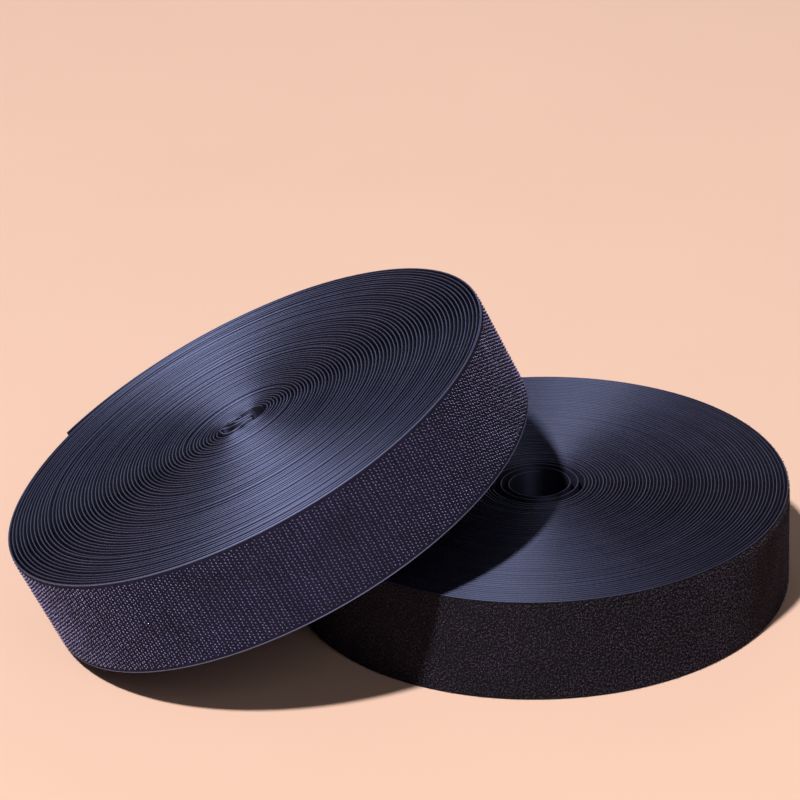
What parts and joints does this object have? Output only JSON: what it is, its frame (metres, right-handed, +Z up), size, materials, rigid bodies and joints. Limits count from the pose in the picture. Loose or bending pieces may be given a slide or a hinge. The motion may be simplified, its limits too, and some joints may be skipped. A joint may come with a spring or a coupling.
{
  "type": "hook and loop tape rolls",
  "caption": "A roll of hook tape leaning on a roll of loop tape: woven fastening tape wound flat on itself without a spool, with a loose outer end that peels off.",
  "frame": {"origin": "centre of the pair's footprint, on the surface that it stands on", "axes": "+X from the leaning hook roll towards the flat loop roll, +Y away from the viewer, +Z up"},
  "size_m": [0.3678, 0.2586, 0.1468],
  "materials": {
    "hook_web": "woven nylon ground of the hook tape, satin edge",
    "hook_pile": "rows of stiff nylon monofilament hooks, glinting",
    "loop_web": "woven nylon ground of the loop tape, satin edge",
    "loop_pile": "brushed soft nylon loops, matt"
  },
  "bodies": {
    "loop_roll": {"loop_core_turns": "loop_web", "loop_wound_turns": "loop_web", "loop_outer_turn": "loop_web", "loop_pile_band": "loop_pile", "loop_inner_turns": "loop_web"},
    "loop_tail": {"loop_tail": "loop_web", "loop_tail_pile": "loop_pile"},
    "hook_roll": {"hook_core_turns": "hook_web", "hook_wound_turns": "hook_web", "hook_outer_turn": "hook_web", "hook_pile_band": "hook_pile", "hook_inner_end": "hook_web"},
    "hook_tail": {"hook_tail": "hook_web", "hook_tail_pile": "hook_pile"}
  },
  "joints": [
    {"name": "hook_roll_lift", "type": "slide", "parent": "loop_roll", "child": "hook_roll", "axis": [0, 0, 1], "range_m": [0, 0.15]},
    {"name": "hook_tail_peel", "type": "hinge", "parent": "hook_roll", "child": "hook_tail", "pos_m": [-0.08838, 0.11287, 0.03396], "axis": [0.412, 0, -0.9112], "range_deg": [0, 70], "stiffness_Nm_per_rad": 0.004},
    {"name": "loop_tail_peel", "type": "hinge", "parent": "loop_roll", "child": "loop_tail", "pos_m": [0.08331, 0.12782, 0], "axis": [0, 0, -1], "range_deg": [0, 70], "stiffness_Nm_per_rad": 0.004}
  ]
}
